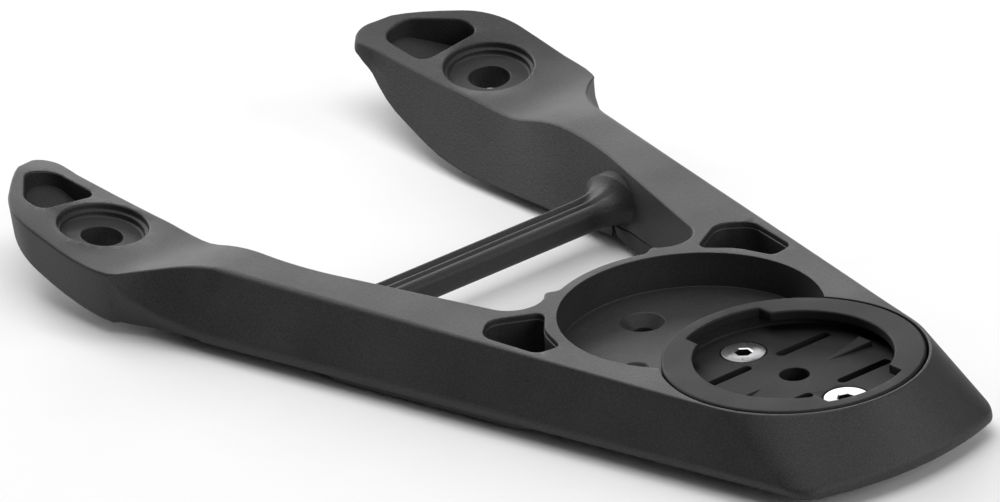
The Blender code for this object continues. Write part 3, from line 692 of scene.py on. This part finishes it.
def crossbar_mesh():
    """The bar, with channels along its top that fade out where it flares into the arms."""
    section = ([(-1.2, -1.9), (1.2, -1.9)] + arc((1.1, -0.8), 1.1, -75, 0, 5)
               + [(2.2, 0.6)] + arc((1.75, 1.35), 0.45, 0, 140, 6)
               + arc((0.85, 1.75), 0.55, -35, -145, 6) + arc((0.0, 1.45), 0.4, 60, 120, 3)
               + arc((-0.55, 1.85), 0.4, -60, -120, 3)
               + arc((-1.05, 0.45), 1.2, 75, 180, 8) + [(-2.25, -0.6)]
               + arc((-1.2, -0.85), 1.05, 180, 260, 5))
    # A plain oval of the same size takes the channels' place near the ends.
    runs = np.linalg.norm(np.diff(np.array(section + section[:1]), axis=0), axis=1)
    passed = np.concatenate([[0], np.cumsum(runs)[:-1]])
    turns = np.radians(-121.0) + 2 * np.pi * passed / runs.sum()
    ovals = [(2.3 * math.cos(t), 1.9 * math.sin(t)) for t in turns]
    xs = spread(0.0, 16.4, 7) + spread(16.4, 22.4, 20)[1:] + [23.2, 25.6]
    shell = Shell()
    rings = []
    for x in [-v for v in reversed(xs)] + xs[1:]:
        reach = min(max((abs(x) - BAR_FLARE_X) / 5.2, 0.0), 0.98)
        swell, plain = 1 - math.sqrt(1 - reach * reach), ease((abs(x) - BAR_PLAIN_X) / 4.6)
        ring = []
        for (y, z), (oval_y, oval_z) in zip(section, ovals):
            y, z = lerp(y, oval_y, plain), lerp(z, oval_z, plain)
            ring.append((x, BAR_Y - 0.5 * swell + y * (1 + 2.0 * swell),
                         BAR_Z + z * (1 + (1.5 if z > 0 else 0.5) * swell)))
        rings.append(ring)
    first, last = shell.stack(rings)
    shell.cap(first)
    shell.cap(last)
    return shell.mesh("crossbar")


def build_frame(material):
    """Joins the crossbar on, then cuts the plate recesses, bolt clearances and insert holes."""
    made = as_object("mount_frame_visual", frame_shell())
    below = -16.0
    cuts = []
    for side in (-1, 1):
        loop = plate_outline() + [(PLATE_X, PLATE_STEP_Y), (12.1, PLATE_STEP_Y)]
        loop = offset(to_side(loop, side), -PLATE_GAP)
        cuts.append(prism_mesh(dense([tuple(p) for p in loop], 6.0), below,
                               lambda x, y: under_z(y) + PLATE_T + PLATE_GAP))
        cuts.append(turned_mesh([(5.0, -14.0), (5.0, -5.35)], 48, pad_matrix(side)))
    for x, y in hole_places():
        cuts.append(turned_mesh([(INSERT_HOLE_R, below), (INSERT_HOLE_R, INSERT_TOP + 0.05)], 36,
                                Matrix.Translation((x, y, 0))))
    booleans(made, [("UNION", crossbar_mesh()), ("DIFFERENCE", joined(cuts))])
    return finish_piece("frame_moulding", made, "frame", material, ["mount_frame"])


# ---------------------------------------------------------------- backing plates

def build_plate(side, material):
    """A plate that fills its recess and carries the arm's inner side down to the underside.
    It is drawn for the right arm and mirrored for the left."""
    inner = [(top, low) for top, low in zip(*inner_columns())
             if low[1] < PLATE_STEP_Y and top[0] > 12.3]
    tops, feet = [], []
    for x, y in plate_outline():
        tops.append((x, y, under_z(y) + PLATE_T))
        feet.append((x, y, belly_z(y)))
    for (x, y), (lx, ly) in inner:
        z = top_z(x, y)
        for out, height in ((tops, under_z(ly) + PLATE_T), (feet, belly_z(ly))):
            t = (z - height) / (z - INNER_Z)
            out.append((lerp(x, lx, t), lerp(y, ly, t), height))
    tops, feet = np.array(tops), np.array(feet)
    lead, tail = tops.copy(), feet.copy()
    lead[:, :2] += normals(tops) * 1.0
    lead[:, 2] = [under_z(y) + PLATE_T for y in lead[:, 1]]
    tail[:, :2] += normals(feet) * 1.4
    tail[:, 2] = [belly_z(y) for y in tail[:, 1]]
    rings = soften([lead, tops, feet, tail], [0.2, 0.7], 4)
    shell = Shell()
    first, last = shell.stack(rings[1:-1])
    shell.fill([first], lambda x, y: under_z(y) + PLATE_T, 2.5)
    shell.fill([last], lambda x, y: belly_z(y), 2.0)
    mesh = shell.mesh("plate")
    if side < 0:
        mesh.transform(Matrix.Scale(-1, 4, (1, 0, 0)))
        mesh.flip_normals()
    hand = "right" if side > 0 else "left"
    made = as_object(hand + "_plate", mesh)
    cutters = []
    for x, y in PLATE_SCREWS:
        z = belly_z(y)
        cutters.append(turned_mesh([(2.75, -16.0), (2.75, z - 0.05), (2.55, z + PLATE_GAP),
                                    (1.55, z + 1.35), (1.55, -3.0)], 36,
                                   Matrix.Translation((side * x, y, 0))))
    booleans(made, [("DIFFERENCE", joined(cutters))])
    return finish_piece(hand + "_plate_moulding", made, "frame", material,
                        [hand + "_backing_plate"])


# ---------------------------------------------------------------- puck

def lip_loop():
    """The opening in the puck's lip, with its two notches."""
    corner = math.degrees(math.asin(NOTCH_HALF / NOTCH_R))
    near = math.degrees(math.asin(NOTCH_HALF / LIP_R))
    loop = []
    for middle in (90, 270):
        loop += arc((0, 0), LIP_R, middle - 180 + near, middle - near, 40)
        loop += arc((0, 0), NOTCH_R, middle - corner, middle + corner, 24)
    return loop


def build_puck(material):
    shell = Shell()
    angles = np.linspace(0, 2 * np.pi, 144, endpoint=False)

    def circle(radius, z):
        return np.stack([radius * np.cos(angles), radius * np.sin(angles),
                         np.full(len(angles), z)], 1)

    rings = soften([circle(PUCK_R - 1.5, PUCK_TOP), circle(PUCK_R, PUCK_TOP),
                    circle(PUCK_R, PUCK_UNDER), circle(PUCK_R - 1.5, PUCK_UNDER)], [0.4, 0.3], 4)
    crown, base = shell.stack(rings[1:-1])
    lip = np.array(lip_loop())
    spokes = lip / np.linalg.norm(lip, axis=1)[:, None]
    groove = spokes * GROOVE_R
    flat = [at_height(offset(lip, -0.7), PUCK_TOP), at_height(lip, PUCK_TOP),
            at_height(lip, LIP_UNDER), at_height(groove + spokes * 0.02, LIP_UNDER),
            at_height(groove, PUCK_FLOOR), at_height(spokes * (GROOVE_R - 1.2), PUCK_FLOOR)]
    rings = soften(flat, [0.28, 0.15, 0.02, 0.3], 3)
    mouth, floor = shell.stack(rings[1:-1])
    shell.fill([crown, mouth])
    upper, lower = [floor], [base]
    profile = [(2.6, PUCK_FLOOR), (2.0, PUCK_FLOOR), (2.0, PUCK_UNDER), (2.6, PUCK_UNDER)]
    first, last = shell.stack(turned_rings(profile, [0.15, 0.15], 40)[1:-1])
    upper.append(first)
    lower.append(last)
    for side in (-1, 1):
        for y in (-6.05, 6.05):
            end = 11.2
            slot = arc((3.1, y), 0.7, 90, 270, 10) + [(end, y - 0.7), (end + 0.25, y),
                                                      (end, y + 0.7)]
            slot = to_side(dense(slot, 1.0), side)
            rings = soften([at_height(offset(slot, -0.4), PUCK_FLOOR), at_height(slot, PUCK_FLOOR),
                            at_height(slot, PUCK_UNDER)], [0.12], 2)
            first, last = shell.stack(rings[1:])
            upper.append(first)
            lower.append(last)
        place = Matrix.Translation((0, side * SCREW_Y, 0))
        profile = [(3.7, PUCK_FLOOR), (3.18, PUCK_FLOOR), (3.18, PUCK_FLOOR - 0.2),
                   (1.8, PUCK_FLOOR - 1.65), (1.8, -5.9), (2.25, -5.9), (2.55, PUCK_UNDER),
                   (3.0, PUCK_UNDER)]
        rings = turned_rings(profile, [0.12, 0.05, 0.05, 0.0, 0.1, 0.05], 40, place, 2)
        first, last = shell.stack(rings[1:-1])
        upper.append(first)
        lower.append(last)
    shell.fill(upper)
    shell.fill(lower)
    made = as_object("puck_visual", shell.mesh("puck"))
    ramps = []
    for side in (-1, 1):
        ramp = Shell()
        base = [(side * 6.1, -0.2), (side * 12.7, -1.25), (side * 12.7, 1.25), (side * 6.1, 0.2)]
        rows = []
        for shrink, lift in ((0.0, -0.5), (0.0, 0.0), (0.12, 0.9), (0.25, 1.0)):
            row = []
            for x, y in base:
                crest = 0.75 if abs(x) > 10 else 0.03
                row.append((x - side * shrink * (1 if abs(x) > 10 else -1),
                            y - math.copysign(shrink * 0.7, y),
                            PUCK_FLOOR + (lift if lift < 0 else crest * lift)))
            rows.append(row)
        first, last = ramp.stack(rows)
        ramp.cap(first)
        ramp.cap(last)
        ramps.append(ramp.mesh("ramp"))
    booleans(made, [("UNION", joined(ramps))])
    return finish_piece("puck_moulding", made, "puck", material, ["quarter_turn_puck"])


# ---------------------------------------------------------------- screws and inserts

def screw_mesh(head_r, head_h, shank_r, length, socket, depth, steps=56, pitch=0.5):
    """A countersunk screw, head up with its face at z = 0, with a hex socket and a thread.
    The socket's faces carry material index 1."""
    shell = Shell()
    profile = [(head_r - 0.6, 0.0), (head_r, 0.0), (head_r, -0.18), (shank_r, -head_h)]
    profile += [(shank_r, -head_h - 0.4)]
    rings = turned_rings(profile, [0.12, 0.08, 0.15], steps, Matrix(), 3)[1:]
    thread = [(shank_r - (0.0, 0.13, 0.26, 0.13)[i % 4], -head_h - 0.5 - i * pitch / 4)
              for i in range(int((length - head_h - 0.9) / pitch) * 4 + 1)]
    angles = np.linspace(0, 2 * np.pi, steps, endpoint=False)
    for r, z in thread + [(shank_r - 0.45, -length)]:
        rings.append(np.stack([r * np.cos(angles), r * np.sin(angles), np.full(steps, z)], 1))
    face, end = shell.stack(rings)
    shell.cap(end)
    corner = socket / math.sqrt(3)
    hexagon = dense([(corner * math.cos(math.radians(60 * k)),
                      corner * math.sin(math.radians(60 * k))) for k in range(6)], corner / 4)
    hexagon = np.array(hexagon)
    wall = [at_height(offset(hexagon, -0.18), 0.0), at_height(hexagon, -0.1),
            at_height(hexagon, -depth), at_height(hexagon * 0.9, -depth - 0.08)]
    mouth, bottom = shell.stack(wall)
    shell.fan(bottom, (0, 0, -depth - 0.35))
    shell.fill([face, mouth])
    mesh = shell.mesh("screw")
    # Faces inside the hex socket get index 1, the painted shade material standing in for the
    # shadow inside the socket.
    for face in mesh.polygons:
        if face.center.z < -0.12 and math.hypot(*face.center.xy) < corner * 1.02 and (
                face.center.z > -depth - 0.5):
            face.material_index = 1
    return mesh


def build_screws(steel, black, socket):
    for name, y in (("front", -SCREW_Y), ("rear", SCREW_Y)):
        mesh = screw_mesh(2.98, 1.5, 1.5, 5.4, 2.0, 1.1)
        turn = Matrix.Rotation(math.radians(18 if y > 0 else 40), 4, "Z")
        mesh.transform(Matrix.Translation((0, y, PUCK_FLOOR - 0.02)) @ turn)
        finish_piece(name + "_puck_screw_head", mesh, name + "_screw", steel,
                     [name + "_puck_screw"], 20, socket)
    for side in (-1, 1):
        hand = "right" if side > 0 else "left"
        for place, (x, y) in zip(("front", "rear"), PLATE_SCREWS):
            mesh = screw_mesh(2.3, 1.2, 1.25, 5.0, 1.5, 0.9, 44)
            mesh.transform(Matrix.Translation((side * x, y, belly_z(y) + PLATE_GAP))
                           @ Matrix.Rotation(math.pi, 4, "X"))
            finish_piece(f"{hand}_plate_screw_{place}_head", mesh, "frame", black,
                         [f"{hand}_plate_screw_{place}"], 30)


def build_inserts(brass):
    """Knurled inserts, set into the underside below each screw hole."""
    steps = 72
    angles = np.linspace(0, 2 * np.pi, steps, endpoint=False)
    teeth = np.where(np.arange(steps) % 3 == 0, 0.0, 0.12)
    top, low = INSERT_TOP, INSERT_LOW
    for i, (x, y) in enumerate(hole_places()):
        rings = []
        spec = [(1.8, top, 0), (2.2, top, 0), (2.3, top - 0.1, 1), (2.3, top - 0.5, 1),
                (2.1, top - 0.6, 0), (2.1, top - 0.8, 0), (2.3, top - 0.9, 1),
                (2.3, low + 0.1, 1), (2.2, low, 0), (1.95, low, 0), (1.8, low + 0.15, 0)]
        for r, z, cut in spec:
            radius = r - teeth * cut
            rings.append(np.stack([x + radius * np.cos(angles), y + radius * np.sin(angles),
                                   np.full(steps, z)], 1))
        shell = Shell()
        first, last = shell.stack(rings)
        shell.bridge(last, first)
        finish_piece(f"insert_{i + 1}_brass", shell.mesh("insert"), "frame", brass,
                     [f"threaded_insert_{i + 1}"], 30)


# ---------------------------------------------------------------- materials

def new_material(name):
    made = bpy.data.materials.new(name)
    made.use_nodes = True
    nodes, links = made.node_tree.nodes, made.node_tree.links
    shader = nodes["Principled BSDF"]
    place = nodes.new("ShaderNodeTexCoord")
    return made, nodes, links, shader, place


def noise(nodes, links, place, scale, detail=3.0, roughness=0.55):
    made = nodes.new("ShaderNodeTexNoise")
    made.inputs["Scale"].default_value = scale
    made.inputs["Detail"].default_value = detail
    made.inputs["Roughness"].default_value = roughness
    links.new(place.outputs["Object"], made.inputs["Vector"])
    return made


def ramp(nodes, links, source, stops):
    made = nodes.new("ShaderNodeValToRGB")
    made.color_ramp.elements[0].position, made.color_ramp.elements[0].color = stops[0]
    made.color_ramp.elements[1].position, made.color_ramp.elements[1].color = stops[-1]
    for position, colour in stops[1:-1]:
        made.color_ramp.elements.new(position).color = colour
    links.new(source, made.inputs["Fac"])
    return made


def grey(value, tint=0.0):
    return (value, value, value * (1 + tint), 1.0)


def moulded(name, level, rough, grain=0.07, spread_by=0.4, speck=4200.0, specular=0.33):
    """Moulded plastic with a fine spark-eroded grain and faint cloudiness."""
    made, nodes, links, shader, place = new_material(name)
    fine = noise(nodes, links, place, speck, 2.0, 0.6)
    cloud = noise(nodes, links, place, 85.0, 3.0)
    mix = nodes.new("ShaderNodeMath")
    mix.operation = "MULTIPLY_ADD"
    links.new(cloud.outputs["Fac"], mix.inputs[0])
    mix.inputs[1].default_value = 0.35
    links.new(fine.outputs["Fac"], mix.inputs[2])
    colour = ramp(nodes, links, mix.outputs[0],
                  [(0.45, grey(level * (1 - spread_by), 0.01)), (0.68, grey(level, 0.01)),
                   (0.92, grey(level * (1 + spread_by), 0.01))])
    links.new(colour.outputs["Color"], shader.inputs["Base Color"])
    gloss = nodes.new("ShaderNodeMapRange")
    gloss.inputs["From Min"].default_value, gloss.inputs["From Max"].default_value = 0.3, 0.7
    gloss.inputs["To Min"].default_value = rough - 0.05
    gloss.inputs["To Max"].default_value = rough + 0.06
    links.new(cloud.outputs["Fac"], gloss.inputs["Value"])
    links.new(gloss.outputs["Result"], shader.inputs["Roughness"])
    bump = nodes.new("ShaderNodeBump")
    bump.inputs["Strength"].default_value = 0.5
    bump.inputs["Distance"].default_value = grain * MM
    links.new(fine.outputs["Fac"], bump.inputs["Height"])
    links.new(bump.outputs["Normal"], shader.inputs["Normal"])
    shader.inputs["Specular IOR Level"].default_value = specular
    return made


def metal(name, colour, rough, scale=(3000.0, 3000.0, 9000.0)):
    """Machined metal with fine marks."""
    made, nodes, links, shader, place = new_material(name)
    stretch = nodes.new("ShaderNodeMapping")
    stretch.inputs["Scale"].default_value = scale
    links.new(place.outputs["Object"], stretch.inputs["Vector"])
    marks = nodes.new("ShaderNodeTexNoise")
    marks.inputs["Scale"].default_value, marks.inputs["Detail"].default_value = 1.0, 3.0
    links.new(stretch.outputs["Vector"], marks.inputs["Vector"])
    dark = tuple(c * 0.82 for c in colour[:3]) + (1.0,)
    tint = ramp(nodes, links, marks.outputs["Fac"], [(0.3, dark), (0.7, colour)])
    links.new(tint.outputs["Color"], shader.inputs["Base Color"])
    gloss = nodes.new("ShaderNodeMapRange")
    gloss.inputs["To Min"].default_value, gloss.inputs["To Max"].default_value = rough - 0.08, (
        rough + 0.1)
    links.new(marks.outputs["Fac"], gloss.inputs["Value"])
    links.new(gloss.outputs["Result"], shader.inputs["Roughness"])
    bump = nodes.new("ShaderNodeBump")
    bump.inputs["Strength"].default_value, bump.inputs["Distance"].default_value = (
        0.2, 0.003 * MM)
    links.new(marks.outputs["Fac"], bump.inputs["Height"])
    links.new(bump.outputs["Normal"], shader.inputs["Normal"])
    shader.inputs["Metallic"].default_value = 1.0
    return made


# ---------------------------------------------------------------- camera, light, floor

def build_camera():
    """A long lens, looking down on the nose and the mount's left side from nearly 2 m away.
    aim_right and aim_up are from the puck's centre to the middle of the view."""
    azimuth, elevation, roll = map(math.radians, (-40.56, 25.49, 3.184))
    distance, lens, aim_right, aim_up = 1893.94, 518.386, -38.6163, 13.6130
    back = Vector((math.sin(azimuth) * math.cos(elevation),
                   -math.cos(azimuth) * math.cos(elevation), math.sin(elevation)))
    right = Vector((math.cos(azimuth), math.sin(azimuth), 0.0))
    up = back.cross(right)
    c, s = math.cos(roll), math.sin(roll)
    right, up = right * c - up * s, right * s + up * c
    aim, eye = right * aim_right + up * aim_up, back * distance
    away = (eye - aim).normalized()
    across = (right - away * right.dot(away)).normalized()
    turn = Matrix((across, away.cross(across), away)).transposed().to_4x4()
    data = bpy.data.cameras.new("camera")
    data.sensor_width, data.lens = 36.0, lens
    data.clip_start, data.clip_end = 0.05, 50.0
    camera = bpy.data.objects.new("camera", data)
    camera.matrix_world = Matrix.Translation(ORIGIN + eye * MM) @ turn
    bpy.context.scene.collection.objects.link(camera)
    bpy.context.scene.camera = camera


def area_light(name, place, width, height, power):
    """A rectangular light that faces the object."""
    data = bpy.data.lights.new(name, "AREA")
    data.shape, data.size, data.size_y, data.energy = "RECTANGLE", width, height, power
    made = bpy.data.objects.new(name, data)
    turn = (-Vector(place)).to_track_quat("-Z", "Y").to_matrix().to_4x4()
    made.matrix_world = Matrix.Translation(place) @ turn
    bpy.context.scene.collection.objects.link(made)


def build_stage():
    """A pale floor just under the feet, and soft lights above, behind and in front."""
    mesh = bpy.data.meshes.new("floor")
    bm = bmesh.new()
    bmesh.ops.create_grid(bm, x_segments=2, y_segments=2, size=6.0)
    bm.to_mesh(mesh)
    bm.free()
    floor = as_object("floor", mesh)
    floor.location.z = -0.0004
    paper, nodes, links, shader, place = new_material("pale_floor")
    tone = ramp(nodes, links, noise(nodes, links, place, 40.0).outputs["Fac"],
                [(0.3, grey(0.86)), (0.7, grey(0.88))])
    links.new(tone.outputs["Color"], shader.inputs["Base Color"])
    shader.inputs["Roughness"].default_value = 0.9
    shader.inputs["Specular IOR Level"].default_value = 0.1
    mesh.materials.append(paper)
    world = bpy.data.worlds.new("studio")
    world.use_nodes = True
    world.node_tree.nodes["Background"].inputs["Color"].default_value = grey(1.0)
    world.node_tree.nodes["Background"].inputs["Strength"].default_value = 0.02
    bpy.context.scene.world = world
    bpy.context.scene.view_settings.view_transform = "Standard"
    area_light("top", (0.0, 0.0, 1.2), 1.2, 1.2, 10.3)
    area_light("back_high", (0.1, 0.9, 0.9), 0.6, 0.6, 4.8)
    area_light("back", (-0.1, 1.2, 0.4), 0.8, 0.5, 7.0)
    area_light("back_right", (0.7, 0.9, 0.35), 0.8, 0.5, 4.6)
    area_light("front", (-0.1, -1.1, 0.4), 0.5, 0.5, 3.4)
    area_light("front_right", (0.7, -0.8, 0.5), 0.5, 0.5, 3.4)


def main():
    moulding = moulded("frame_plastic", 0.026, 0.5)
    plate = moulded("plate_plastic", 0.026, 0.52)
    puck = moulded("puck_plastic", 0.009, 0.62, 0.05, specular=0.27)
    steel = metal("stainless", (0.62, 0.62, 0.63, 1.0), 0.3)
    # Painted shade: near-black metal put on the screws' hex sockets in place of the shadow and
    # dark reflection inside them.
    socket = metal("socket_shadow", (0.05, 0.05, 0.052, 1.0), 0.5)
    brass = metal("brass", (0.75, 0.56, 0.28, 1.0), 0.35)
    black = metal("black_steel", (0.09, 0.09, 0.095, 1.0), 0.4)
    build_frame(moulding)
    for side in (-1, 1):
        build_plate(side, plate)
    build_puck(puck)
    build_screws(steel, black, socket)
    build_inserts(brass)
    build_camera()
    build_stage()


main()
